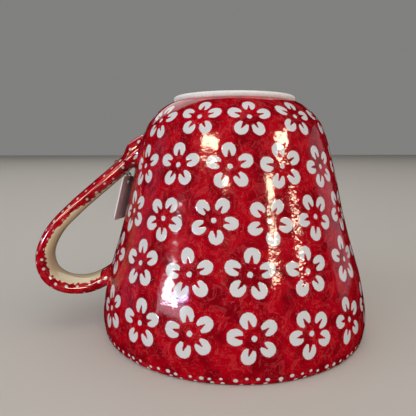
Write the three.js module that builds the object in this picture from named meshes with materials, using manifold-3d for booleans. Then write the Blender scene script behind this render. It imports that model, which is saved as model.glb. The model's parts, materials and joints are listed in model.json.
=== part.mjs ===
// A stoneware mug with a pulled strap handle, stored mouth down, and the price tag tied to its handle.
// Millimetres, +Z up. The part stands on its rim at z = 0, with its foot ring on top. The bowl is round
// about a vertical axis, and the handle reaches out from it along -X.
// Profiles are written as (radius or reach from the bowl's axis, height above the rim).
import * as THREE from "three";
import { mergeVertices } from "three/addons/utils/BufferGeometryUtils.js";
import Module from "manifold-3d";

const wasm = await Module();
wasm.setup();

// ---- Driving dimensions ------------------------------------------------------------------------
const HEIGHT = 96.5; // rim to foot plane
const RIM_RADIUS = 56; // widest point of the bowl, just above the rim
const WALL = 4.4; // wall thickness of the bowl
const FLOOR = 6; // thickness of the bowl's base
const LIP_HEIGHT = 2.2; // the rounded part of the rim
const LIP_LAND = 1.2; // flat that the rim rests on
const FOOT_RADIUS = 25.1; // outside of the foot ring where the glaze ends
const FOOT_WIDTH = 5.2; // width of the foot ring
const FOOT_HEIGHT = 1.8; // bare part of the foot ring
const FOOT_BEVEL = 0.8; // turned edge of the foot ring
const RECESS = 3.5; // from the foot plane in to the base
const STRAP_WIDTH = 16;
const STRAP_THICKNESS = 6.2;
const FLARED_THICKNESS = 12.4; // the strap's height where it meets the wall near the foot
const FLARE_FROM = 46.5; // reach where that flare starts
const FLARE_TO = 41.5; // and where it is complete, just outside the wall
const COLLAR_HEIGHT = 0.8; // luting slip: how far it stands out along the handle
const COLLAR_THICKNESS = 1.3; // and how far it stands proud of the strap
const GAP = 0.3; // between pieces that touch
const THREAD = 0.4; // thread diameter
const CARD_WIDTH = 13;
const CARD_LENGTH = 18.6;
const CARD_THICKNESS = 0.5;
const CARD_CORNER = 1.6;
const HOLE_RADIUS = 1;
const HOLE_MARGIN = 2.2; // hole centre to the card's top edge
const CARD_LEAN = THREE.MathUtils.degToRad(14); // the card's slope from the vertical, like the wall's
const CARD_TWIST = THREE.MathUtils.degToRad(-14); // and its turn about its own length
const AROUND = 64; // flats round the bowl

// ---- The bowl's outline and the handle's line --------------------------------------------------
const LIP_TOP_RADIUS = RIM_RADIUS - 0.6;
const SEAT = HEIGHT - FOOT_HEIGHT - GAP; // flat that carries the foot ring
const flare = new THREE.SplineCurve(
  [
    [LIP_TOP_RADIUS, LIP_HEIGHT],
    [RIM_RADIUS, 7],
    [55.3, 14],
    [52.8, 25.5],
    [48.6, 39],
    [45, 52],
    [42.3, 64],
    [39.9, 73],
    [38.1, 79.4],
    [35.9, 85],
    [32.2, 89.8],
    [28.4, 92.8],
    [FOOT_RADIUS + 0.2, SEAT],
  ].map(([r, z]) => new THREE.Vector2(r, z)),
);
const strapLine = new THREE.CatmullRomCurve3(
  [
    [29, 75.5],
    [36.5, 74.6],
    [43.2, 71.1],
    [49.6, 65.7],
    [56.4, 60],
    [66.5, 51.3],
    [75.4, 42],
    [79.9, 32],
    [78.3, 23.4],
    [71.5, 18.6],
    [62, 18.3],
    [53.1, 22.2],
    [46, 27.5],
  ].map(([reach, z]) => new THREE.Vector3(-reach, 0, z)),
);
const REACH = 83.1; // furthest point of the handle from the bowl's axis
const AXIS_X = (REACH - RIM_RADIUS) / 2; // puts the origin at the middle of the part's footprint

// ---- Helpers -----------------------------------------------------------------------------------
// A quarter of an ellipse from one point to another, leaving the first along the radius or the height.
function quarter(from, to, alongRadius, steps = 4) {
  return Array.from({ length: steps + 1 }, (_, i) => {
    const turn = (i / steps) * (Math.PI / 2);
    const near = Math.sin(turn);
    const far = 1 - Math.cos(turn);
    const [r, z] = alongRadius ? [near, far] : [far, near];
    return new THREE.Vector2(from[0] + (to[0] - from[0]) * r, from[1] + (to[1] - from[1]) * z);
  });
}

// Points moved square to an open outline, to the right of its run.
function offset(points, distance) {
  return points.map((p, i) => {
    const before = points[Math.max(i - 1, 0)];
    const after = points[Math.min(i + 1, points.length - 1)];
    const run = after.clone().sub(before).normalize();
    return new THREE.Vector2(p.x + run.y * distance, p.y - run.x * distance);
  });
}

// A body of revolution about +Z from a (radius, height) outline.
function turned(points) {
  return new THREE.LatheGeometry(points, AROUND).rotateX(Math.PI / 2);
}

function solid(geometry) {
  const bare = geometry.clone();
  bare.deleteAttribute("normal");
  bare.deleteAttribute("uv");
  const merged = mergeVertices(bare.index ? bare.toNonIndexed() : bare, 1e-4);
  const made = new wasm.Manifold(
    new wasm.Mesh({
      numProp: 3,
      vertProperties: merged.attributes.position.array,
      triVerts: new Uint32Array(merged.index.array),
    }),
  );
  return made;
}

function geometryOf(manifold) {
  const mesh = manifold.getMesh();
  const geometry = new THREE.BufferGeometry();
  geometry.setAttribute("position", new THREE.BufferAttribute(mesh.vertProperties, 3));
  geometry.setIndex(new THREE.BufferAttribute(mesh.triVerts, 1));
  geometry.computeVertexNormals();
  return geometry;
}

function piece(name, geometry, finish) {
  const mesh = new THREE.Mesh(geometry, finish);
  mesh.name = name;
  return mesh;
}

// ---- Finishes ----------------------------------------------------------------------------------
const redGlaze = new THREE.MeshStandardMaterial({ color: 0xa8101f, roughness: 0.12, metalness: 0 });
const bareClay = new THREE.MeshStandardMaterial({ color: 0xe4dfd2, roughness: 0.75, metalness: 0 });
const card = new THREE.MeshStandardMaterial({ color: 0xe9e4e2, roughness: 0.8, metalness: 0 });
const darkThread = new THREE.MeshStandardMaterial({ color: 0x2a2023, roughness: 0.9, metalness: 0 });

// ---- Bowl: wall, rim and base in one ------------------------------------------------------------
const OUTLINE_STEPS = 24;
const outside = flare.getPoints(OUTLINE_STEPS);
const CAVITY_TOP = HEIGHT - RECESS - FLOOR;
const KNEE = [34.7, 75]; // where the inside wall turns in to the flat base
const FLAT_RADIUS = 17; // flat base inside the cup

function bowl() {
  const wallInside = offset(outside, -WALL).filter((p) => p.y > LIP_HEIGHT + 1 && p.y < KNEE[1] - 1.5);
  const lipInside = RIM_RADIUS - WALL - 0.4;
  const landMiddle = (LIP_TOP_RADIUS + lipInside) / 2;
  const landOut = landMiddle + LIP_LAND / 2;
  const landIn = landMiddle - LIP_LAND / 2;
  const recessRadius = FOOT_RADIUS - FOOT_WIDTH;
  return turned([
    new THREE.Vector2(0, CAVITY_TOP),
    ...quarter([FLAT_RADIUS, CAVITY_TOP], KNEE, true, 6),
    ...wallInside.reverse(),
    ...quarter([lipInside, LIP_HEIGHT], [landIn, 0], false),
    ...quarter([landOut, 0], [LIP_TOP_RADIUS, LIP_HEIGHT], true),
    ...outside.slice(1),
    new THREE.Vector2(recessRadius, SEAT),
    ...quarter([recessRadius - 0.4, SEAT - 0.2], [recessRadius - 1.6, HEIGHT - RECESS], false, 3),
    new THREE.Vector2(0, HEIGHT - RECESS),
  ]);
}

// ---- Foot ring: bare clay, with a turned bevel on both edges -------------------------------------
function footRing() {
  const low = SEAT + GAP;
  const inner = FOOT_RADIUS - FOOT_WIDTH;
  return turned([
    new THREE.Vector2(inner, low),
    new THREE.Vector2(FOOT_RADIUS, low),
    new THREE.Vector2(FOOT_RADIUS - 0.1, HEIGHT - FOOT_BEVEL),
    new THREE.Vector2(FOOT_RADIUS - FOOT_BEVEL, HEIGHT),
    new THREE.Vector2(inner + FOOT_BEVEL, HEIGHT),
    new THREE.Vector2(inner + 0.1, HEIGHT - FOOT_BEVEL),
    new THREE.Vector2(inner, low),
  ]);
}

// ---- Handle: a strap with an oval section, ending a little short of the wall ---------------------
// Thickness of the strap at a height and a reach: it swells into the wall at the foot end only.
function thicknessAt(point) {
  if (point.z < 40) return STRAP_THICKNESS;
  const share = THREE.MathUtils.clamp((FLARE_FROM + point.x) / (FLARE_FROM - FLARE_TO), 0, 1);
  return STRAP_THICKNESS + (FLARED_THICKNESS - STRAP_THICKNESS) * share * share * (3 - 2 * share);
}

// Moves a swept strap's surface away from its line, in the plane of the handle, to the flare.
function flared(geometry) {
  const line = strapLine.getPoints(600);
  const place = geometry.attributes.position;
  const point = new THREE.Vector3();
  for (let i = 0; i < place.count; i++) {
    point.fromBufferAttribute(place, i);
    const side = point.y;
    point.y = 0;
    const middle = line.reduce((a, b) =>
      a.distanceToSquared(point) < b.distanceToSquared(point) ? a : b,
    );
    point.sub(middle).multiplyScalar(thicknessAt(middle) / STRAP_THICKNESS).add(middle);
    place.setXYZ(i, point.x, side, point.z);
  }
  return geometry;
}

// The section is a superellipse, grown all round by the given amount.
function strapSection(grow) {
  const flats = 20;
  const squareness = 0.78;
  const shaped = (value) => Math.sign(value) * Math.abs(value) ** squareness;
  const outline = Array.from({ length: flats }, (_, i) => {
    const turn = (i / flats) * 2 * Math.PI;
    return new THREE.Vector2(
      shaped(Math.cos(turn)) * (STRAP_WIDTH / 2 + grow),
      shaped(Math.sin(turn)) * (STRAP_THICKNESS / 2 + grow),
    );
  });
  return new THREE.Shape(outline);
}

function strap(grow) {
  const geometry = new THREE.ExtrudeGeometry(strapSection(grow), {
    steps: 46,
    bevelEnabled: false,
    extrudePath: strapLine,
  });
  return solid(flared(geometry));
}

// Everything inside the bowl's outside face, grown by the given amount.
function bowlGrown(grow) {
  const grown = offset(outside, grow);
  const last = grown[grown.length - 1];
  return solid(
    turned([
      new THREE.Vector2(0, -1),
      new THREE.Vector2(grown[0].x, -1),
      ...grown,
      new THREE.Vector2(0, last.y + 1),
    ]),
  );
}

function handle() {
  return geometryOf(strap(0).subtract(bowlGrown(GAP)));
}

// ---- Luting slip: a collar of clay round each end of the strap -----------------------------------
function collar(lowest, highest) {
  const block = new THREE.BoxGeometry(60, 40, highest - lowest);
  block.translate(-REACH / 2 - 8, 0, (highest + lowest) / 2);
  const ring = strap(COLLAR_THICKNESS)
    .intersect(bowlGrown(GAP + COLLAR_HEIGHT))
    .subtract(strap(GAP))
    .subtract(bowlGrown(GAP));
  return geometryOf(ring.intersect(solid(block)));
}

// ---- Price tag on its thread --------------------------------------------------------------------
// The band is one turn of thread round the strap, close to its joint at the foot end. Its lower run
// hangs clear of the strap, so that the link can go round it.
const BAND_AT = 0.217; // share of the strap line's points, from its foot end
const bandCentre = strapLine.getPoint(BAND_AT);
const bandAlong = strapLine.getTangent(BAND_AT);
const bandIn = new THREE.Vector3(bandAlong.z, 0, -bandAlong.x).normalize(); // into the finger gap
if (bandIn.z > 0) bandIn.negate();
const SNUG = thicknessAt(bandCentre) / 2 + GAP + THREAD / 2; // thread centre from the strap's line, outside face
const SLACK = SNUG + THREAD + GAP; // and inside face, with room for the link
const KNOT_RADIUS = 0.7;
const sideReach = STRAP_WIDTH / 2 + GAP + THREAD / 2;

function bandPoint(turn) {
  const side = Math.sign(Math.cos(turn)) * Math.abs(Math.cos(turn)) ** 0.7 * sideReach;
  const lift = Math.sign(Math.sin(turn)) * Math.abs(Math.sin(turn)) ** 0.7;
  const into = lift > 0 ? lift * SLACK : lift * SNUG;
  return bandCentre.clone().addScaledVector(bandIn, into).add(new THREE.Vector3(0, side, 0));
}

function threadTube(points, closed, steps) {
  const path = new THREE.CatmullRomCurve3(points, closed);
  const section = new THREE.Shape();
  section.absarc(0, 0, THREAD / 2, 0, 2 * Math.PI);
  return new THREE.ExtrudeGeometry(section, {
    steps,
    curveSegments: 4,
    bevelEnabled: false,
    extrudePath: path,
  });
}

function band() {
  const turns = 28;
  const open = 0.16; // half the opening for the knot, in radians round the band
  const points = Array.from({ length: turns + 1 }, (_, i) =>
    bandPoint(open + (i / turns) * 2 * (Math.PI - open)),
  );
  return threadTube(points, false, 44);
}

function knot() {
  const place = bandPoint(0);
  place.y = STRAP_WIDTH / 2 + GAP + KNOT_RADIUS;
  return new THREE.SphereGeometry(KNOT_RADIUS, 10, 8).translate(...place.toArray());
}

// The card's own frame: its origin is the thread of the band's lower run, and -Z runs down the card.
const hang = bandCentre.clone().addScaledVector(bandIn, SLACK);
const CARD_TOP = -0.6; // below the lower run of the band
const HOLE_Z = CARD_TOP - HOLE_MARGIN;
const LINK_LOW = HOLE_Z + HOLE_RADIUS - GAP - THREAD / 2; // thread that carries the card
const LINK_RADIUS = THREAD + GAP + 0.05;

// A loop of thread over the band and through the hole: two straights joined by half turns.
function link() {
  const bottom = LINK_LOW + LINK_RADIUS;
  const round = 8;
  const arc = (centre, start) =>
    Array.from({ length: round + 1 }, (_, i) => {
      const turn = start + (i / round) * Math.PI;
      return [LINK_RADIUS * Math.cos(turn), centre + LINK_RADIUS * Math.sin(turn)];
    });
  const centres = [...arc(0, 0), ...arc(bottom, Math.PI)];
  const ring = new THREE.TorusGeometry(LINK_RADIUS, THREAD / 2, 8, centres.length);
  const place = ring.attributes.position;
  const sides = 8;
  for (let i = 0; i < place.count; i++) {
    const around = Math.floor(i / (centres.length + 1)); // place on the thread's own section
    const along = (i % (centres.length + 1)) % centres.length; // place along the loop
    const [x, z] = centres[along];
    const centre = along <= round ? 0 : bottom;
    const facing = new THREE.Vector2(x, z - centre).normalize();
    const turn = (around / sides) * 2 * Math.PI;
    const out = (THREAD / 2) * Math.cos(turn);
    place.setXYZ(i, x + facing.x * out, (THREAD / 2) * -Math.sin(turn), z + facing.y * out);
  }
  return geometryOf(solid(ring));
}

function tagCard() {
  const half = CARD_WIDTH / 2;
  const low = CARD_TOP - CARD_LENGTH;
  const outline = new THREE.Shape();
  outline.moveTo(-half + CARD_CORNER, low);
  outline.lineTo(half - CARD_CORNER, low);
  outline.absarc(half - CARD_CORNER, low + CARD_CORNER, CARD_CORNER, -Math.PI / 2, 0);
  outline.lineTo(half, CARD_TOP - CARD_CORNER);
  outline.absarc(half - CARD_CORNER, CARD_TOP - CARD_CORNER, CARD_CORNER, 0, Math.PI / 2);
  outline.lineTo(-half + CARD_CORNER, CARD_TOP);
  outline.absarc(-half + CARD_CORNER, CARD_TOP - CARD_CORNER, CARD_CORNER, Math.PI / 2, Math.PI);
  outline.lineTo(-half, low + CARD_CORNER);
  outline.absarc(-half + CARD_CORNER, low + CARD_CORNER, CARD_CORNER, Math.PI, 1.5 * Math.PI);
  const hole = new THREE.Path();
  hole.absarc(0, HOLE_Z, HOLE_RADIUS, 0, 2 * Math.PI, true);
  outline.holes.push(hole);
  const sheet = new THREE.ExtrudeGeometry(outline, {
    depth: CARD_THICKNESS,
    curveSegments: 6,
    bevelEnabled: false,
  });
  // The outline was drawn with its height along Y and its thickness along Z.
  return sheet.translate(0, 0, -CARD_THICKNESS / 2).rotateX(Math.PI / 2).rotateZ(Math.PI / 2);
}

// ---- Assembly -----------------------------------------------------------------------------------
const mug = new THREE.Group();
mug.position.x = AXIS_X;
mug.add(piece("mug_body", bowl(), redGlaze));
mug.add(piece("foot_ring", footRing(), bareClay));
mug.add(piece("handle", handle(), redGlaze));
mug.add(piece("slip_joint_foot_end", collar(50, HEIGHT), redGlaze));
mug.add(piece("slip_joint_rim_end", collar(8, 40), redGlaze));
mug.add(piece("thread_band", band(), darkThread));
mug.add(piece("thread_knot", knot(), darkThread));

const tag = new THREE.Group();
tag.position.copy(hang);
tag.rotation.y = CARD_LEAN;
const twisted = new THREE.Group();
twisted.rotation.z = CARD_TWIST;
twisted.add(piece("tag_card", tagCard(), card));
tag.add(piece("thread_link", link(), darkThread), twisted);
mug.add(tag);

const part = new THREE.Group();
part.add(mug);
export default part;
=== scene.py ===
# %% [markdown]
# # A stoneware mug, stored mouth down, with the tag still tied to its handle
#
# The mug is thrown on a wheel, its handle is pulled from a strip of clay and joined on with wet
# clay, and the flowers are stamped by hand in underglaze before a clear glaze goes over everything.
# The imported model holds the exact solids. This notebook gives each of them a finished surface:
# smooth shapes with soft edges, a glossy glaze that ripples a little, and a pattern that wraps the
# bowl in rows. Lengths are typed in millimetres, because a potter measures that way, and are
# multiplied by MM where Blender wants metres.

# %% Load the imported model
import json
import math
import random

import bmesh
import bpy
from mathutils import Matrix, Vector
from mathutils.geometry import interpolate_bezier


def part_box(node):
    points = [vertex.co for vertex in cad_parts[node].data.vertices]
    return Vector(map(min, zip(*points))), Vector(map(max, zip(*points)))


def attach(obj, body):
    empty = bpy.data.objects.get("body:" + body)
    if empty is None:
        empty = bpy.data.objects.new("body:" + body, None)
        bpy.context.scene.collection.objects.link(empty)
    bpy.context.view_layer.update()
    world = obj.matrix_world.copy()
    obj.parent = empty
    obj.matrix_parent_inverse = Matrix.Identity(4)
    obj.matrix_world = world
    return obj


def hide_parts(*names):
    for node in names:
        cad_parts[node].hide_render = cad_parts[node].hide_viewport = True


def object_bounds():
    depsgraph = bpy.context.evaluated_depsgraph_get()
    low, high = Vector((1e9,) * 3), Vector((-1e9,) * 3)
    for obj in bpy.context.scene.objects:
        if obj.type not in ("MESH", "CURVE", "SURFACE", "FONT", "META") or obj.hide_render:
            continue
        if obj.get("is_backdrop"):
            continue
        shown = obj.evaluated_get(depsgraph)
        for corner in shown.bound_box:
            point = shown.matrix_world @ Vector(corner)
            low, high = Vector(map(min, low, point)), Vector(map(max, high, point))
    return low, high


MM = 0.001
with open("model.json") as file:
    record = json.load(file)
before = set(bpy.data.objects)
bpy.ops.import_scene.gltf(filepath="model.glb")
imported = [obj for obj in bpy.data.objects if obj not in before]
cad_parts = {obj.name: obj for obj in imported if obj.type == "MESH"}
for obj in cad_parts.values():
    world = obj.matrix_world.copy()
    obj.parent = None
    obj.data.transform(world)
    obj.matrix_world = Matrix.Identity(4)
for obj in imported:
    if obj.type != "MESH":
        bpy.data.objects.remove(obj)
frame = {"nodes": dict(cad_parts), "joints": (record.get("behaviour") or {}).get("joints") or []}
cad_low, cad_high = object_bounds()
ring_low, ring_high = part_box("foot_ring")
AXIS_X = (ring_low.x + ring_high.x) / 2
HEIGHT = ring_high.z
print("nodes:", sorted(frame["nodes"]))
print(f"the bowl's axis stands at x = {AXIS_X / MM:.2f} mm, and its foot at {HEIGHT / MM:.1f} mm")

# %% [markdown]
# ## Camera, floor and light
#
# The camera stands close to the mug and a little above its middle, as a hand-held camera does, and
# looks slightly down and to the left of the bowl's axis. A close camera matters here: it makes the
# near part of the bowl look larger than the rim's far sides.

# %% Camera
CAMERA_LEFT = 27.1
CAMERA_BACK = 178.2
CAMERA_HEIGHT = 76.1
camera_data = bpy.data.cameras.new("camera")
camera_data.sensor_width = 36
camera_data.lens = 36.2
camera = bpy.data.objects.new("camera", camera_data)
bpy.context.scene.collection.objects.link(camera)
camera.location = Vector((AXIS_X - CAMERA_LEFT * MM, -CAMERA_BACK * MM, CAMERA_HEIGHT * MM))
look_along = Vector((0.0894, 0.9856, -0.1435))
camera.rotation_euler = look_along.to_track_quat("-Z", "Y").to_euler()
bpy.context.scene.camera = camera
bpy.context.scene.view_settings.view_transform = "Standard"
print("camera at", [round(v / MM, 1) for v in camera.location], "mm")

# %% [markdown]
# The lights do two jobs. Broad, soft ones fill the room, and they are left out of reflections: a
# shiny red that mirrors a large white box turns pink. Small, bright ones show in the glaze as
# highlights, and their places decide where those highlights fall. Each light is given as a
# direction from the mug (degrees round from +X, and degrees up) and the angle it spans, so it is
# easy to move one along the glaze. A cool window with leaves and bars across it stands low on the
# left, so it is a scatter of small patches, and warm lamps hang in front.

# %% Lights
MUG_MIDDLE = Vector((AXIS_X, 0, HEIGHT / 2))
FAR = 3.0  # metres from the mug to every lamp


def light(name, around, up, wide, tall, brightness, colour, mirrored=True):
    """A rectangle of light, far away, that spans wide by tall degrees as the mug sees it."""
    data = bpy.data.lights.new(name, "AREA")
    data.shape = "RECTANGLE"
    data.size, data.size_y = (2 * FAR * math.tan(math.radians(angle) / 2) for angle in (wide, tall))
    data.energy = brightness * math.pi * data.size * data.size_y
    data.color = colour
    lamp = bpy.data.objects.new(name, data)
    bpy.context.scene.collection.objects.link(lamp)
    turn, tilt = math.radians(around), math.radians(up)
    toward = Vector((math.cos(turn) * math.cos(tilt), math.sin(turn) * math.cos(tilt), math.sin(tilt)))
    lamp.location = MUG_MIDDLE + toward * FAR
    lamp.rotation_euler = toward.to_track_quat("Z", "Y").to_euler()
    lamp.visible_glossy = mirrored
    lamp.visible_diffuse = not mirrored
    return lamp


WHITE = (0.95, 0.97, 1.0)
COOL = (0.74, 0.84, 1.0)
BLUE = (0.45, 0.60, 1.0)
VIOLET = (0.55, 0.45, 1.0)
WARM = (1.0, 0.80, 0.56)
VIOLET_FROM = -143
WINDOW_PATCHES = 14
sky = random.Random(11)
for number in range(WINDOW_PATCHES):
    around, up = sky.uniform(-158, -137), sky.uniform(4.0, 11.5)
    colour = VIOLET if around > VIOLET_FROM else sky.choice((COOL, WHITE, BLUE))
    size = sky.uniform(2.5, 5.5), sky.uniform(1.4, 3.2)
    light(f"window_patch_{number}", around, up, *size, sky.uniform(32, 66), colour)
light("window_glow", -150, 5, 26, 12, 3.0, COOL)
light("lamp_left", -128, 33, 18, 8, 34, WARM)
light("lamp_left_low", -106, 23, 6, 5, 26, WARM)
light("lamp_right", -37, 30.3, 18, 8.5, 33, WARM)
light("lamp_tall", -60, 19.4, 7.5, 7.6, 30, WARM)
light("lamp_low", -33, 13.6, 9, 1.6, 40, WARM)
light("side_left", 164, 8, 22, 34, 0.22, (0.7, 0.45, 0.9))
light("side_right", 16, 8, 32, 28, 0.42, (1.0, 0.80, 0.95))
light("behind", 95, 35, 50, 30, 1.1, (1.0, 0.97, 0.93))
light("fill_front", -98, 34, 60, 44, 1.35, (1.0, 0.96, 0.95), mirrored=False)
light("fill_left", -160, 24, 50, 44, 1.35, (0.84, 0.90, 1.0), mirrored=False)
light("fill_right", -20, 30, 50, 44, 0.75, (1.0, 0.94, 0.88), mirrored=False)
light("overhead", -80, 80, 50, 50, 0.9, (1.0, 0.97, 0.94), mirrored=False)

world = bpy.data.worlds.new("room")
world.use_nodes = True
background = world.node_tree.nodes["Background"]
background.inputs["Color"].default_value = (0.92, 0.91, 0.90, 1)
background.inputs["Strength"].default_value = 0.24
world.cycles_visibility.glossy = False
bpy.context.scene.world = world

# %% [markdown]
# ## Writing materials as arithmetic
#
# A pattern is a formula: how far is this point from the nearest petal? Such formulas need dozens of
# Math nodes, and they are hard to read when each node is wired by hand. So a small class holds one
# output socket and turns +, -, * and / into nodes. Every other node comes from its one method
# "node", which takes the node's type, its settings, and what goes into its sockets.


# %% A socket that can be added and multiplied
class Link:
    def __init__(self, tree, socket):
        self.tree = tree
        self.socket = socket

    def node(self, kind, settings=None, inputs=None, output=0):
        made = self.tree.nodes.new(kind)
        for key, value in (settings or {}).items():
            if key == "stops":
                ramp = made.color_ramp
                for place, colour in value[2:]:
                    ramp.elements.new(place).color = (*colour, 1)
                for element, (place, colour) in zip((ramp.elements[0], ramp.elements[-1]), value[:2]):
                    element.position = place
                    element.color = (*colour, 1)
            else:
                setattr(made, key, value)
        for key, value in (inputs or {}).items():
            if isinstance(value, Link):
                self.tree.links.new(value.socket, made.inputs[key])
            else:
                made.inputs[key].default_value = value
        return Link(self.tree, made.outputs[output])

    def maths(self, operation, *values):
        return self.node("ShaderNodeMath", {"operation": operation}, dict(enumerate(values)))

    def __add__(self, other):
        return self.maths("ADD", self, other)

    def __radd__(self, other):
        return self.maths("ADD", other, self)

    def __sub__(self, other):
        return self.maths("SUBTRACT", self, other)

    def __rsub__(self, other):
        return self.maths("SUBTRACT", other, self)

    def __mul__(self, other):
        return self.maths("MULTIPLY", self, other)

    def __rmul__(self, other):
        return self.maths("MULTIPLY", other, self)

    def __truediv__(self, other):
        return self.maths("DIVIDE", self, other)

    def __neg__(self):
        return self.maths("MULTIPLY", self, -1.0)

    def __gt__(self, other):
        return self.maths("GREATER_THAN", self, other)


# %% [markdown]
# Three short helpers cover most patterns: a soft step between two values, the smaller or larger of
# two values (which joins or cuts shapes when they are written as distances), and a mix of colours.


# %% Pattern helpers
def soft_step(value, start, end):
    """0 before start and 1 after end, easing in between. The two may be given in either order."""
    low, high = (start, end) if start < end else (end, start)
    step = value.node(
        "ShaderNodeMapRange",
        {"interpolation_type": "SMOOTHSTEP"},
        {"Value": value, "From Min": low, "From Max": high},
    )
    return step if start < end else 1 - step


def smaller(a, b):
    return a.maths("MINIMUM", a, b)


def larger(a, b):
    return a.maths("MAXIMUM", a, b)


def vector(x, y, z):
    first = next(v for v in (x, y, z) if isinstance(v, Link))
    return first.node("ShaderNodeCombineXYZ", None, {0: x, 1: y, 2: z})


def mix(share, a, b):
    return share.node("ShaderNodeMix", {"data_type": "RGBA"}, {0: share, 6: a, 7: b}, output=2)


def clouds(place, scale, detail=2.0, roughness=0.5, distortion=0.0):
    sockets = {"Vector": place, "Scale": scale, "Detail": detail, "Roughness": roughness}
    sockets["Distortion"] = distortion
    return place.node("ShaderNodeTexNoise", None, sockets)


def dice(x, y, z):
    """Three numbers from 0 to 1 that look random and are the same for the same x, y and z."""
    thrown = vector(x, y, z)
    colour = thrown.node("ShaderNodeTexWhiteNoise", {"noise_dimensions": "3D"}, {"Vector": thrown}, 1)
    return tuple(colour.node("ShaderNodeSeparateXYZ", None, {0: colour}, i) for i in range(3))


def start_material(name):
    """A new material, a Link to build from that gives the Object coordinates in mm, and its shader."""
    material = bpy.data.materials.new(name)
    material.use_nodes = True
    tree = material.node_tree
    shader = tree.nodes["Principled BSDF"]
    start = Link(tree, shader.outputs[0])
    place = start.node("ShaderNodeTexCoord", output="Object")
    place = start.node(
        "ShaderNodeMapping",
        None,
        {"Vector": place, "Location": (-AXIS_X / MM, 0, 0), "Scale": (1 / MM, 1 / MM, 1 / MM)},
    )
    return material, place, shader


def plug(value, shader, name):
    """Feed a value into one of the shader's sockets."""
    value.tree.links.new(value.socket, shader.inputs[name])


def relief(height, shader):
    """Bump from a height in millimetres."""
    bump = height.node("ShaderNodeBump", None, {"Strength": 1.0, "Distance": MM, "Height": height})
    plug(bump, shader, "Normal")


# %% [markdown]
# ## The glaze
#
# Red underglaze is brushed over pale clay, so it is never one flat red: strokes overlap, and thin
# places let the clay through as lighter streaks. A clear glaze over it is glass. It is almost
# perfectly smooth, but it was melted, so it ripples by a few hundredths of a millimetre, enough to
# break a reflection into pieces.

# %% Colours of the glaze
RED = (0.48, 0.0012, 0.010, 1)
DEEP_RED = (0.24, 0.0005, 0.006, 1)
THIN_RED = (0.64, 0.050, 0.060, 1)
WHITE_SLIP = (0.68, 0.67, 0.69, 1)
THICK_SLIP = (0.78, 0.77, 0.76, 1)
PALE_FLECK = (0.78, 0.40, 0.38, 1)
CREAM = (0.86, 0.75, 0.50, 1)

# The flank where the glaze ran, in degrees round the bowl.
FLOW_AZIMUTH = -72
FLOW_HALF_WIDTH = 10


def ripples(place):
    """Height of the melted glaze's surface, in millimetres."""
    broad = clouds(place, 0.11, 1.0) * 0.10
    middling = clouds(place, 0.42, 2.0, 0.5) * 0.045
    return broad + middling + clouds(place, 1.4, 1.0) * 0.011


def lines(field, middle, half_width):
    """1 along the thin lines where a field passes through a value."""
    away = field.maths("ABSOLUTE", field - middle)
    return soft_step(away, half_width, 0.0)


def choppy(place, azimuth, run):
    """Height of the coarser ripples on one flank, where the glaze was dipped twice and ran."""
    flank = lines(azimuth, math.radians(FLOW_AZIMUTH), math.radians(FLOW_HALF_WIDTH))
    reach = soft_step(run, 92.0, 78.0) * soft_step(run, 24.0, 38.0)
    return clouds(place, 0.50, 1.0) * 0.11 * flank * reach


def glassy(shader):
    shader.inputs["Roughness"].default_value = 0.07
    shader.inputs["IOR"].default_value = 1.52
    shader.inputs["Coat Weight"].default_value = 0.0


def brushed_red(place):
    """The red ground: deep and bright patches, thin washes with a hard edge, and brush curls."""
    depth = clouds(place, 0.15, 2.0, 0.5)
    red = mix(soft_step(depth, 0.34, 0.60), DEEP_RED, RED)
    wash = clouds(place, 0.17, 2.0, 0.5, 1.6)
    red = mix(soft_step(wash, 0.56, 0.61) * soft_step(wash, 0.78, 0.60) * 0.36, red, THIN_RED)
    curls = clouds(place, 0.20, 2.0, 0.5, 2.4)
    here = soft_step(clouds(place, 0.31, 1.0), 0.42, 0.60)
    red = mix(lines(curls, 0.50, 0.020) * here * 0.75, red, THIN_RED)
    red = mix(lines(curls, 0.44, 0.012) * here * 0.6, red, THIN_RED)
    return mix(lines(curls, 0.56, 0.020) * 0.6, red, DEEP_RED)


print("glaze colours set")

# %% [markdown]
# ## The flowers
#
# Each flower is one sponge stamp: five petals like rounded horseshoes, open toward the middle, and
# a dot. The rows have different numbers of flowers, because the bowl narrows toward its foot. The
# pattern could be 70 small decals, but a formula is lighter and follows the bowl exactly: turn the
# azimuth into "which flower", measure the place within that flower, fold the five petals onto one,
# and write that petal as a distance. Neighbouring rows almost touch, so the odd and the even rows
# are worked out separately and joined.

# %% The stamped flower rows
# Each row: height above the rim along the wall, flowers round the bowl, azimuth of one flower's
# middle, the direction of its first petal (90 is toward the foot), and the size of the stamp.
ROWS = [
    (16.75, 17, -91.7, 106, 1.09),
    (36.9, 15, -91.9, 90, 1.10),
    (54.4, 15, -106.7, -90, 1.05),
    (72.5, 14, -100.7, 106, 1.03),
    (90.3, 12, -119.3, 84, 0.99),
]
FOOT_RUN = 102.9  # distance along the wall from the lip to the foot ring
PETAL_MIDDLE = 5.55  # from the flower's middle
PETAL_HALF_LENGTH = 2.6
PETAL_HALF_WIDTH = 2.3
NOTCH_DEPTH = 2.1
DOT_RADIUS = 0.86
FIFTH = 2 * math.pi / 5
print(sum(row[1] for row in ROWS), "flowers in", len(ROWS), "rows")


def by_row(run, rows, column, scale=1.0):
    """A row's number from the table, chosen by the height along the wall."""
    total = rows[0][column] * scale
    for lower, upper in zip(rows, rows[1:]):
        total = total + (run > (lower[0] + upper[0]) / 2) * ((upper[column] - lower[column]) * scale)
    return total


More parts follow.
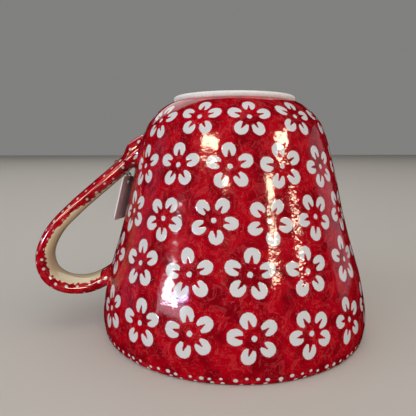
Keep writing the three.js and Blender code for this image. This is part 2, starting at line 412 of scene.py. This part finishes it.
# %% One flower, as a distance
def flower_distance(azimuth, run, radius, rows):
    """Distance in mm to the nearest white part, and a number that differs from flower to flower."""
    count = by_row(run, rows, 1)
    turn = (azimuth - by_row(run, rows, 2, math.pi / 180)) * count / (2 * math.pi)
    which = (turn + 0.5).maths("FLOOR", turn + 0.5)
    own = which.maths("FLOORED_MODULO", which, count)
    row = by_row(run, rows, 0)
    shift, lift, twist = dice(own, row, 1.0)
    x = (turn - which) * (2 * math.pi) / count * radius + (shift - 0.5) * 1.3
    y = run - row + (lift - 0.5) * 1.3
    reach = x.maths("SQRT", x * x + y * y) / by_row(run, rows, 4)
    bearing = y.maths("ARCTAN2", y, x) - by_row(run, rows, 3, math.pi / 180) + (twist - 0.5) * 0.45
    fifths = bearing / FIFTH
    petal = fifths.maths("FLOOR", fifths + 0.5)
    bend = (fifths - petal) * FIFTH
    stretch, widen, lean = dice(own + 50, row, petal.maths("FLOORED_MODULO", petal, 5.0))
    bend = bend + (lean - 0.5) * 0.12
    along = reach * bend.maths("COSINE", bend) - (PETAL_MIDDLE - 0.15 + stretch * 0.3)
    across = reach * bend.maths("SINE", bend)
    across_size = across.maths("ABSOLUTE", across)
    long_way = (along + 0.25) / (PETAL_HALF_LENGTH - 0.15 + stretch * 0.3)
    wide_way = across / (PETAL_HALF_WIDTH - 0.2 + widen * 0.4) * (1 - along * 0.02)
    squared = long_way * long_way + wide_way * wide_way
    oval = (squared.maths("SQRT", squared) - 1) * 2.4
    inner_end = PETAL_HALF_LENGTH - 0.35
    oval = larger(oval, -along - inner_end)
    tip = NOTCH_DEPTH - inner_end + (widen - 0.5) * 0.7
    notch = larger(across_size - 0.16 - (tip - along) * 0.25, along - tip)
    stamped = larger(oval, -notch)
    return smaller(stamped, reach - DOT_RADIUS), own + row


# %% Dots along the rim
def dot_distance(azimuth, run, radius, count, phase, height, size):
    """Distance to one row of small round dots."""
    turn = (azimuth - phase) * (count / (2 * math.pi))
    which = turn.maths("FLOOR", turn + 0.5)
    shift, lift, grow = dice(which.maths("FLOORED_MODULO", which, float(count)), height, 3.0)
    x = (turn - which) * (2 * math.pi / count) * radius + (shift - 0.5) * 1.6
    y = run - height + (lift - 0.5) * 0.9
    across = x.maths("SQRT", x * x * 0.7 + y * y)
    return across - size * 0.75 - grow * size * 0.5


# %% The decorated glaze
def decorated_glaze():
    material, place, shader = start_material("decorated_glaze")
    glassy(shader)
    x, y = (place.node("ShaderNodeSeparateXYZ", None, {0: place}, i) for i in range(2))
    azimuth = y.maths("ARCTAN2", y, x)
    radius = x.maths("SQRT", x * x + y * y)
    run = place.node("ShaderNodeAttribute", {"attribute_name": "run"}, None, "Fac")
    odd, odd_seed = flower_distance(azimuth, run, radius, ROWS[0::2])
    even, even_seed = flower_distance(azimuth, run, radius, ROWS[1::2])
    ragged = (clouds(place, 1.1, 2.0, 0.6) - 0.5) * 0.5
    flowers = smaller(odd, even)
    edge = flowers + ragged
    dots = smaller(
        dot_distance(azimuth, run, radius, count=92, phase=0.0, height=3.1, size=0.56),
        dot_distance(azimuth, run, radius, count=74, phase=0.02, height=1.4, size=0.52),
    )
    white = soft_step(smaller(edge, dots + ragged * 0.6), 0.12, -0.12)
    halo = lines(flowers + ragged, 1.05, 0.35) * soft_step(clouds(place, 0.5, 1.0), 0.38, 0.6)
    rings = clouds(vector(flowers * 0.9, azimuth * 9, odd_seed + even_seed), 1.0, 2.0, 0.6, 0.4)
    ring = lines(rings, 0.55, 0.035) * soft_step(flowers, 0.9, 1.6) * soft_step(flowers, 4.5, 2.5)
    ground = mix(ring * 0.42, brushed_red(place), THIN_RED)
    ground = mix(halo * 0.8, ground, DEEP_RED)
    flecks = soft_step(clouds(place, 1.3, 2.0, 0.6, 1.0), 0.70, 0.74) * soft_step(flowers, 3.0, 0.6)
    ground = mix(flecks * 0.6, ground, PALE_FLECK)
    slip = mix(clouds(place, 3.2, 2.0), WHITE_SLIP, THICK_SLIP)
    painted = mix(white, ground, slip)
    unpainted = larger(soft_step(run, -1.6, -2.0), soft_step(run, FOOT_RUN + 3.0, FOOT_RUN + 3.4))
    plug(mix(unpainted, painted, CREAM), shader, "Base Color")
    relief(ripples(place) + choppy(place, azimuth, run) + white * 0.03, shader)
    return material


decorated = decorated_glaze()
print(len(decorated.node_tree.nodes), "nodes in the decorated glaze")

# %% [markdown]
# ## The bowl
#
# A thrown pot is a body of revolution, so its outline is drawn once and spun about the axis. The
# outline runs through a few points that a potter could check with calipers. It goes from the inside
# of the base down the inner wall, round the lip, and up the outer wall to the foot. While it is
# drawn, each point also keeps "run", its distance along the wall from the lip, so that the flower
# rows keep their spacing where the wall slopes. Points inside the mug get a negative run.

# %% A smooth line through points
LIP_RADIUS = 55.4
LIP_HEIGHT = 2.2
WALL = 4.4
BASE_THICKNESS = 6
RECESS_DEPTH = 3.5
FLAT_RADIUS = 17  # flat base inside the mug
KNEE = (34.7, 75)  # where the inside wall turns in to the base
LIP_INSIDE = 51.2
LIP_HALF_LAND = 0.6  # half the flat that the rim rests on
OUTSIDE = [
    (LIP_RADIUS, LIP_HEIGHT),
    (56, 7),
    (55.3, 14),
    (52.8, 25.5),
    (48.6, 39),
    (45, 52),
    (42.3, 64),
    (39.9, 73),
    (38.1, 79.4),
    (35.9, 85),
    (32.2, 89.8),
    (28.4, 92.8),
    (25.3, 94.4),
]


def smooth_line(points, steps):
    """A curve through the points, with the given steps between each two."""
    points = [Vector((*point, 0)) for point in points]
    ends = [points[0], *points, points[-1]]
    line = []
    for before, start, end, after in zip(ends, ends[1:], ends[2:], ends[3:]):
        leave, arrive = start + (end - before) / 6, end - (after - start) / 6
        line += interpolate_bezier(start, leave, arrive, end, steps + 1)[:-1]
    return [*line, points[-1]]


def quarter_turn(start, end, along_first, steps=8):
    """A quarter of an ellipse between two points. It leaves the first one along the radius, or up."""
    line = []
    for i in range(steps + 1):
        turn = i / steps * math.pi / 2
        near, far = math.sin(turn), 1 - math.cos(turn)
        r, z = (near, far) if along_first else (far, near)
        line.append(Vector((start[0] + (end[0] - start[0]) * r, start[1] + (end[1] - start[1]) * z, 0)))
    return line


outside = smooth_line(OUTSIDE, 8)
print(f"outer wall: {len(outside)} points, widest radius {max(p.x for p in outside):.1f} mm")


def wall_radius(height):
    """Radius of the outer wall at a height above the rim."""
    for low, high in zip(outside, outside[1:]):
        if low.y <= height <= high.y:
            return low.x + (high.x - low.x) * (height - low.y) / (high.y - low.y)
    return outside[0].x if height < outside[0].y else outside[-1].x


# %% Spin the bowl
def new_object(name, bm, material):
    bmesh.ops.recalc_face_normals(bm, faces=bm.faces)
    mesh = bpy.data.meshes.new(name)
    bm.to_mesh(mesh)
    bm.free()
    for polygon in mesh.polygons:
        polygon.use_smooth = True
    piece = bpy.data.objects.new(name, mesh)
    bpy.context.scene.collection.objects.link(piece)
    mesh.materials.append(material)
    print(f"{name}: {len(mesh.polygons)} faces")
    return piece


def spun(name, outline, material, steps=256):
    """A body of revolution about the bowl's axis. Each point is (radius, height, run) in mm."""
    bm = bmesh.new()
    layer = bm.verts.layers.float.new("run")
    chain = []
    for radius, height, run in outline:
        vert = bm.verts.new((AXIS_X + radius * MM, 0, height * MM))
        vert[layer] = run
        chain.append(vert)
    edges = [bm.edges.new(pair) for pair in zip(chain, chain[1:])]
    bmesh.ops.spin(
        bm,
        geom=chain + edges,
        cent=(AXIS_X, 0, 0),
        axis=(0, 0, 1),
        angle=2 * math.pi,
        steps=steps,
        use_merge=True,
    )
    bmesh.ops.remove_doubles(bm, verts=bm.verts, dist=1e-6)
    return new_object(name, bm, material)


# %% The bowl's outline, from the inside of the base to the recess
def bowl_outline():
    inner = []
    for before, here, after in zip(outside, outside[1:], outside[2:]):
        run = (after - before).normalized()
        inner.append(Vector((here.x - run.y * WALL, here.y + run.x * WALL, 0)))
    inner = [p for p in inner if LIP_HEIGHT + 1 < p.y < KNEE[1] - 1.5][::-1]
    land = (LIP_RADIUS + LIP_INSIDE) / 2
    base = HEIGHT / MM - RECESS_DEPTH - BASE_THICKNESS
    inner = [
        Vector((0, base, 0)),
        *quarter_turn((FLAT_RADIUS, base), KNEE, True, 16),
        *inner,
        *quarter_turn((LIP_INSIDE, LIP_HEIGHT), (land - LIP_HALF_LAND, 0), False),
    ]
    outer = quarter_turn((land + LIP_HALF_LAND, 0), (LIP_RADIUS, LIP_HEIGHT), True) + outside[1:]
    recess_floor = HEIGHT / MM - RECESS_DEPTH
    recess = [
        Vector((20.2, 94.4, 0)),
        Vector((19.6, 94.2, 0)),
        *quarter_turn((19.2, 93.9), (17.6, recess_floor), False),
        Vector((0, recess_floor, 0)),
    ]
    points = inner + outer + recess
    run = -sum((b - a).length for a, b in zip(inner, inner[1:])) - (outer[0] - inner[-1]).length
    outline = []
    for i, point in enumerate(points):
        if i:
            run += (point - points[i - 1]).length
        outline.append((point.x, point.y, run))
    return outline


outline_points = bowl_outline()
foot_edge = OUTSIDE[-1][0]
print("run at the foot:", [round(run, 1) for r, _, run in outline_points if abs(r - foot_edge) < 0.05])
bowl = spun("bowl", outline_points, decorated)
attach(bowl, "mug")
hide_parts("mug_body")

# %% [markdown]
# ## The foot ring
#
# Glaze would stick the pot to the kiln shelf, so it is wiped off the ring that the mug stands on.
# What is left is bare stoneware: pale, matte and faintly speckled, with edges softened by a sponge.

# %% Bare clay, and the ring
CLAY = (0.86, 0.83, 0.79, 1)
PALE_CLAY = (0.94, 0.93, 0.91, 1)
CLAY_SPECK = (0.30, 0.22, 0.16, 1)


def bare_stoneware():
    material, place, shader = start_material("bare_stoneware")
    grain = clouds(place, 0.9, 4.0, 0.65)
    pale = mix(soft_step(grain, 0.35, 0.7), CLAY, PALE_CLAY)
    specks = soft_step(clouds(place, 2.4, 1.0), 0.74, 0.80)
    plug(mix(specks * 0.6, pale, CLAY_SPECK), shader, "Base Color")
    plug(0.62 + grain * 0.2, shader, "Roughness")
    relief(grain * 0.05 + clouds(place, 3.5, 2.0) * 0.02, shader)
    return material


RING_OUTSIDE = 25.1
RING_INSIDE = 19.9
RING_HEIGHT = 2.4  # with the part that is sunk into the bowl
RING_EDGE = 0.8


def ring_outline():
    """The ring's section, with rounded edges, sunk a little into the bowl."""
    top = HEIGHT / MM
    outer, inner, low, edge = RING_OUTSIDE, RING_INSIDE, top - RING_HEIGHT, RING_EDGE
    points = [Vector((inner, low, 0)), Vector((outer, low, 0))]
    points += quarter_turn((outer, top - edge), (outer - edge, top), False)
    points += quarter_turn((inner + edge, top), (inner, top - edge), True)
    points.append(points[0])
    return [(p.x, p.y, 0) for p in points]


foot = spun("foot_rim", ring_outline(), bare_stoneware())
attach(foot, "mug")
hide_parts("foot_ring")

# %% [markdown]
# ## The handle
#
# A pulled handle is a strap with a soft oval section. It leaves the wall near the foot, runs down
# and out in a straight slope, turns in a loop and comes back in above the rim. A curve with a bevel
# object would make it, but sweeping the section ourselves keeps three useful measures on every
# vertex: how far along the strap it is, how far round the section it is from the middle of the
# outer face, and whether it is on the outer or the inner face. The paint follows those.

# %% The strap's line and section
STRAP_LINE = [
    (29, 77.5),
    (36.5, 76),
    (43.2, 71.2),
    (49.6, 65.7),
    (56.4, 60),
    (66.5, 51.3),
    (75.4, 42),
    (79.9, 32),
    (78.3, 23.4),
    (71.5, 18.6),
    (62, 18.3),
    (53.1, 22.2),
    (46, 27.5),
]
STRAP_WIDTH = 16
STRAP_THICKNESS = 6.2
FLARED_THICKNESS = 11.2  # where it meets the wall near the foot
FLARE_FROM = 45.2  # reach from the bowl's axis where that flare starts
FLARE_TO = 40
FLARE_ABOVE = 40  # height above which the strap may flare, so its lower end doesn't
SQUARENESS = 0.78  # exponent of the oval section: 1 is an ellipse, and 0 a rectangle
SECTION_POINTS = 48
strap_line = smooth_line(STRAP_LINE, 14)


def power(value, exponent):
    return math.copysign(abs(value) ** exponent, value)


def thickness_at(point):
    """The strap's thickness. It swells where it meets the wall near the foot."""
    if point.y < FLARE_ABOVE:
        return STRAP_THICKNESS
    share = min(max((FLARE_FROM - point.x) / (FLARE_FROM - FLARE_TO), 0), 1)
    return STRAP_THICKNESS + (FLARED_THICKNESS - STRAP_THICKNESS) * share * share * (3 - 2 * share)


def section(turn, thickness=STRAP_THICKNESS, grow=0.0):
    """Across the strap and out from it, in mm, at a turn round its oval section."""
    across = power(math.cos(turn), SQUARENESS) * (STRAP_WIDTH / 2 + grow)
    out = power(math.sin(turn), SQUARENESS) * (thickness / 2 + grow)
    return across, out


def strap_station(index):
    """The strap's middle, its direction of run, and its outward direction, at a point of its line."""
    before = strap_line[max(index - 1, 0)]
    after = strap_line[min(index + 1, len(strap_line) - 1)]
    run = (after - before).normalized()
    return strap_line[index], run, Vector((-run.y, run.x, 0))


def in_frame(reach, height, across):
    """A point of the handle, given by its reach from the bowl's axis, in the part's frame."""
    return Vector((AXIS_X - reach * MM, across * MM, height * MM))


# %% Distance round the section
turns = [i / SECTION_POINTS * 2 * math.pi for i in range(SECTION_POINTS)]
half_round = [0.0]
for i in range(SECTION_POINTS // 2):
    start, end = (Vector(section(math.pi / 2 + turns[j])) for j in (i, i + 1))
    half_round.append(half_round[-1] + (end - start).length)
print(f"half round the strap is {half_round[-1]:.1f} mm")


def wrap_at(turn):
    """Distance round the section from the middle of the outer face, negative on the far side."""
    away = (turn - math.pi / 2 + math.pi) % (2 * math.pi) - math.pi
    whole = abs(away) / (2 * math.pi) * SECTION_POINTS
    low = min(int(whole), len(half_round) - 2)
    return math.copysign(half_round[low] + (half_round[low + 1] - half_round[low]) * (whole - low), away)


# %% [markdown]
# A sweep starts from one circle. Each further ring is extruded from the one before it and its
# points are moved into place, so every ring keeps the same number of points in the same order.


# %% Sweeping rings of points
def swept(name, rings, material, closed=False, measures=()):
    """A tube through rings of points in metres. Each measure is (name, values for every ring)."""
    bm = bmesh.new()
    order = bm.verts.layers.int.new("order")
    layers = [bm.verts.layers.float.new(measure) for measure, _ in measures]

    def place_ring(verts, number):
        for vert in verts:
            vert.co = rings[number][vert[order]]
            for layer, (_, values) in zip(layers, measures):
                vert[layer] = values[number][vert[order]]

    verts = bmesh.ops.create_circle(bm, segments=len(rings[0]), radius=1)["verts"]
    for i, vert in enumerate(verts):
        vert[order] = i
    place_ring(verts, 0)
    edges = list({e for v in verts for e in v.link_edges})
    first = list(edges)
    for number in range(1, len(rings)):
        made = bmesh.ops.extrude_edge_only(bm, edges=edges)["geom"]
        verts = [g for g in made if isinstance(g, bmesh.types.BMVert)]
        edges = [g for g in made if isinstance(g, bmesh.types.BMEdge)]
        edges = [e for e in edges if all(v in verts for v in e.verts)]
        place_ring(verts, number)
    if closed:
        bmesh.ops.bridge_loops(bm, edges=first + edges)
    else:
        for loop in (first, edges):
            bmesh.ops.edgeloop_fill(bm, edges=loop)
    return new_object(name, bm, material)


# %% Paint for the strap
def spots(wrap, along, rows_apart, apart, size):
    """Distance to white dots in staggered rows along the strap."""
    rows = wrap / rows_apart
    row = rows.maths("FLOOR", rows + 0.5)
    stagger = row * 0.5
    steps = along / apart + stagger
    step = steps.maths("FLOOR", steps + 0.5)
    shift, lift, grow = dice(step, row, 5.0)
    x = (steps - step) * apart + (shift - 0.5) * apart * 0.35
    y = (rows - row) * rows_apart + (lift - 0.5) * rows_apart * 0.3
    away = x.maths("SQRT", x * x + y * y)
    return away - size * 0.8 - grow * size * 0.35


def strap_glaze():
    """Red with white dots outside, cream inside, and a scalloped edge where the brush stopped."""
    material, place, shader = start_material("strap_glaze")
    glassy(shader)
    along, wrap, out = (
        place.node("ShaderNodeAttribute", {"attribute_name": name}, None, "Fac")
        for name in ("along", "wrap", "out")
    )
    ragged = (clouds(place, 0.9, 2.0, 0.6) - 0.5) * 0.5
    scallop = along.maths("SINE", along * 2.2 + clouds(place, 0.22, 1.0) * 16)
    # The red reaches less far round on the lower bend, from about 40 to 70 mm along the strap.
    bare_part = soft_step(along, 40.0, 45.0) * soft_step(along, 72.0, 66.0)
    reach_round = 2.15 - bare_part * 1.15 + soft_step(along, 34.0, 24.0) * 0.6
    edge = out + reach_round + scallop * 0.2 + (clouds(place, 0.45, 2.0, 0.7) - 0.5) * 1.3
    red = soft_step(edge, -0.08, 0.08)
    dots = spots(wrap, along, rows_apart=3.5, apart=4.6, size=0.56)
    white = soft_step(dots + ragged * 0.5, 0.12, -0.12)
    white = white * soft_step(edge, 0.2, 0.5)
    paint = mix(white, brushed_red(place), WHITE_SLIP)
    plug(mix(red, CREAM, paint), shader, "Base Color")
    relief(ripples(place) * 0.45 + red * 0.03, shader)
    return material


strap_paint = strap_glaze()
print(len(strap_paint.node_tree.nodes), "nodes in the strap's glaze")

# %% [markdown]
# The strap is trimmed where it dives into the wall. Its ends stay inside the clay, so no gap shows.

# %% Sweep the strap
def distance_along(index):
    """Distance along the strap's line to one of its points."""
    return sum((b - a).length for a, b in zip(strap_line[:index], strap_line[1 : index + 1]))


def strap_rings(indices):
    """Rings of points round the strap at some stations, and what the paint needs at each point."""
    rings, along, wrap, out = [], [], [], []
    for index in indices:
        middle, run, outward = strap_station(index)
        ring, ring_out = [], []
        thickness = thickness_at(middle)
        for turn in turns:
            across, raised = section(turn, thickness)
            point = middle + outward * raised
            ring.append(in_frame(point.x, point.y, -across))
            ring_out.append(raised * STRAP_THICKNESS / thickness)
        rings.append(ring)
        along.append([distance_along(index)] * len(turns))
        wrap.append([wrap_at(turn) for turn in turns])
        out.append(ring_out)
    return rings, (("along", along), ("wrap", wrap), ("out", out))


FOOT_END_DEPTH = 3.0  # in the wall
RIM_END_DEPTH = 1.2
depth_in_wall = [wall_radius(p.y) - p.x for p in strap_line]
half = len(strap_line) // 2
first = max(i for i in range(half) if depth_in_wall[i] > FOOT_END_DEPTH)
last = min(i for i in range(half, len(strap_line)) if depth_in_wall[i] > RIM_END_DEPTH)
print("strap stations:", first, "to", last, "of", len(strap_line))
rings, measures = strap_rings(range(first, last + 1))
strap = swept("strap_handle", rings, strap_paint, measures=measures)
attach(strap, "mug")
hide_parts("handle")

# %% [markdown]
# ## The joints of the handle
#
# The potter scores both surfaces, wets them with slip and smooths a little coil of clay into the
# corner, so the strap swells into the wall with no crease. Each joint here is a fillet: for every
# direction round the strap, a curve that leaves the strap along its own surface and lands on the
# wall along the wall's. The ring is closed behind that curve, inside the clay.

# %% Fillets of slip
def on_wall(point, depth):
    """The point moved level to a depth in the outer wall. In mm, about the bowl's axis."""
    radius = wall_radius(point.z) - depth
    level = Vector((point.x, point.y)).normalized() * radius
    return Vector((level.x, level.y, point.z))


def meet_wall(point, direction, furthest=40.0, halvings=30):
    """Where a straight line from outside meets the wall, found by halving."""
    low, high = 0.0, furthest
    for _ in range(halvings):
        middle = (low + high) / 2
        tried = point + direction * middle
        outside_wall = math.hypot(tried.x, tried.y) > wall_radius(tried.z)
        low, high = (middle, high) if outside_wall else (low, middle)
    return point + direction * high


PROUD = 0.02  # how far a fillet stands out from the strap where it starts
SUNK = 0.12  # how deep its far edge lies in the wall
BACK = 1.2  # how deep the ring is closed, inside the clay
PULL = 0.667  # how closely its curve hugs the corner


def fillet_rings(index, into_wall, spread):
    """Rings from the strap at one station to the wall, and back through the clay."""
    middle, run, outward = strap_station(index)
    toward = Vector((-run.x, 0, run.y)) * into_wall
    aim = meet_wall(Vector((-middle.x, 0, middle.y)), toward)
    curves = []
    for turn in turns:
        across, raised = section(turn, thickness_at(middle), PROUD)
        start = middle + outward * raised
        start = Vector((-start.x, -across, start.y))
        corner = meet_wall(start, toward)
        away = (corner - aim).normalized()
        landing = on_wall(corner + away * spread, SUNK)
        leave, arrive = start.lerp(corner, PULL), landing.lerp(corner, PULL)
        curve = interpolate_bezier(start, leave, arrive, landing, 10)
        curves.append([*curve, on_wall(corner, BACK), start.lerp(corner, 0.5) - away * BACK])
    count = len(curves[0])
    return [[Vector((AXIS_X, 0, 0)) + curve[i] * MM for curve in curves] for i in range(count)]


# %% Make the two joints
RING_STEP = 0.45  # what a fillet's rings add to the distance along the strap, for the paint


def fillet(name, node, index, into_wall, spread):
    """A fillet in the strap's paint: the dots carry on from the strap, and no cream shows."""
    rings = fillet_rings(index, into_wall, spread)
    steps = range(len(rings))
    start = distance_along(index)
    measures = (
        ("along", [[start - into_wall * i * RING_STEP] * len(turns) for i in steps]),
        ("wrap", [[wrap_at(turn) for turn in turns] for _ in steps]),
        ("out", [[STRAP_THICKNESS / 2] * len(turns) for _ in steps]),
    )
    piece = swept(name, rings, strap_paint, closed=True, measures=measures)
    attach(piece, "mug")
    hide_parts(node)
    return piece


def station_clear_of_wall(indices, clearance):
    """The first station, in the order given, whose middle is clear of the wall by that much."""
    for i in indices:
        if strap_line[i].x - wall_radius(strap_line[i].y) > clearance:
            return i


foot_end = station_clear_of_wall(range(len(strap_line)), clearance=4.0)
rim_end = station_clear_of_wall(range(len(strap_line) - 1, 0, -1), clearance=1.2)
joints = [
    fillet("foot_end_joint", "slip_joint_foot_end", foot_end, into_wall=-1, spread=4.4),
    fillet("rim_end_joint", "slip_joint_rim_end", rim_end, into_wall=1, spread=1.8),
]

# %% [markdown]
# A long highlight runs down the flank of a glazed strap. The lamps above are placed for the bowl,
# and the strap's flank faces another way, so it gets lamps of its own. Light linking keeps them off
# the bowl: a light with a receiver collection shines only on what is in it.

# %% Lamps for the strap
strap_pieces = bpy.data.collections.new("strap_pieces")
for piece in (strap, *joints):
    strap_pieces.objects.link(piece)
for name, around, up, wide, tall, brightness in (
    ("strap_lamp_upper", -103, 5, 8, 7, 42),
    ("strap_lamp_middle", -124, 14, 10, 7, 32),
    ("strap_lamp_lower", -158, 25, 20, 9, 20),
):
    lamp = light(name, around, up, wide, tall, brightness, WARM)
    lamp.light_linking.receiver_collection = strap_pieces

# %% [markdown]
# ## The tag
#
# A price tag hangs on thread: one turn of red thread round the strap near its upper joint, and a small
# dark loop that carries the card. The card is left blank. It swings on the thread. Card, small loop and
# band are separate pieces of the imported model, and here they only get their materials.

# %% Card and thread materials
sway = next(joint for joint in frame["joints"] if joint["name"] == "tag_sway")
CARD_FACING = tuple(sway["axis"])  # the card sways in its own plane, so it faces along the axis
# The card is white. Its faces get darker, pinkish colours: painted shade with a painted red glow from
# the mug. Only the cut edges keep the white of the card.
CARD_FACE_PAINTED_SHADE_DARK = (0.60, 0.50, 0.50, 1)
CARD_FACE_PAINTED_SHADE_LIGHT = (0.70, 0.60, 0.60, 1)
CARD_EDGE = (0.92, 0.89, 0.89, 1)


def card_stock():
    material, place, shader = start_material("card_stock")
    fibres = clouds(place, 1.4, 4.0, 0.7)
    facing = place.node("ShaderNodeTexCoord", output="Normal")
    square_on = facing.node(
        "ShaderNodeVectorMath", {"operation": "DOT_PRODUCT"}, {0: facing, 1: CARD_FACING}, "Value"
    )
    cut_edge = soft_step(square_on.maths("ABSOLUTE", square_on), 0.6, 0.4)
    # Painted shade: the faces are darker and pinkish, and only the cut edges show the card's white.
    plug(mix(cut_edge, mix(fibres, CARD_FACE_PAINTED_SHADE_DARK, CARD_FACE_PAINTED_SHADE_LIGHT), CARD_EDGE), shader, "Base Color")
    plug(0.7 + fibres * 0.15, shader, "Roughness")
    relief(fibres * 0.02, shader)
    return material


def cotton_thread(name, dark, light_tone):
    material, place, shader = start_material(name)
    fuzz = clouds(place, 5.0, 3.0)
    plug(mix(fuzz, dark, light_tone), shader, "Base Color")
    shader.inputs["Roughness"].default_value = 0.85
    relief(fuzz * 0.05, shader)
    return material


card_material = card_stock()
loop_thread = cotton_thread("red_thread", (0.12, 0.002, 0.004, 1), (0.34, 0.006, 0.012, 1))
link_thread = cotton_thread("dark_thread", (0.030, 0.004, 0.006, 1), (0.10, 0.014, 0.016, 1))
for node, material in (
    ("tag_card", card_material),
    ("thread_band", loop_thread),
    ("thread_knot", loop_thread),
    ("thread_link", link_thread),
):
    mesh = frame["nodes"][node].data
    mesh.materials.clear()
    mesh.materials.append(material)
    print(node, "is", material.name)

# %% [markdown]
# ## The floor
#
# A plain pale floor catches the shadow and the red glow under the rim. It isn't part of the mug.

# %% Floor
floor_bm = bmesh.new()
bmesh.ops.create_grid(floor_bm, x_segments=1, y_segments=1, size=4)
floor_material = bpy.data.materials.new("pale_floor")
floor_material.use_nodes = True
floor_shader = floor_material.node_tree.nodes["Principled BSDF"]
floor_shader.inputs["Base Color"].default_value = (0.60, 0.57, 0.52, 1)
floor_shader.inputs["Roughness"].default_value = 0.6
floor = new_object("floor", floor_bm, floor_material)
floor.visible_glossy = False
floor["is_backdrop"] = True

# %% [markdown]
# ## The size of the model
#
# Both boxes, of the imported model and of what is shown, are printed in millimetres.

# %% Print the sizes
seen_low, seen_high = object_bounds()
boxes = {
    "cad": [list(cad_low), list(cad_high)],
    "visual": [list(seen_low), list(seen_high)],
}
for name, (low, high) in boxes.items():
    print(name, "box in mm:", [round((h - l) / MM, 1) for l, h in zip(low, high)])
